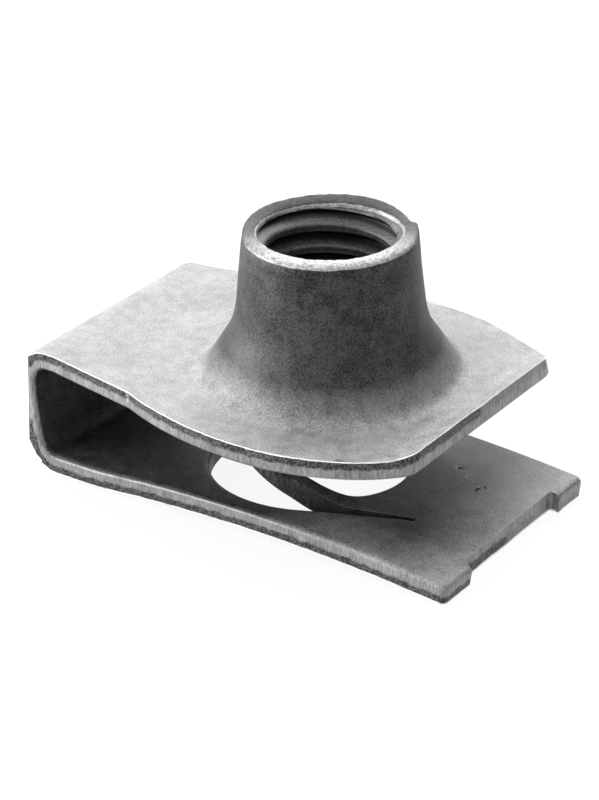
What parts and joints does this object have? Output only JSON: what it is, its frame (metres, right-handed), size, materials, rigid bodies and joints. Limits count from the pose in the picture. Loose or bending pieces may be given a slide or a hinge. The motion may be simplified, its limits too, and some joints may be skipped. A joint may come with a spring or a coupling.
{
  "type": "u clip speed nut",
  "caption": "Folded spring-steel clip with a drawn threaded collar and a lanced, raised tongue, which slips over a panel's edge to give it a captive nut.",
  "frame": {"origin": "on the thread's axis, level with the top face of the upper leaf", "axes": "+X towards the clip's open end, +Y across the strip, +Z along the thread, up the collar"},
  "size_m": [0.0274, 0.0194, 0.0153],
  "materials": {
    "clip_nut": "phosphated spring steel, satin, dark grey"
  },
  "bodies": {
    "root": {"clip_nut": "clip_nut"}
  },
  "joints": []
}
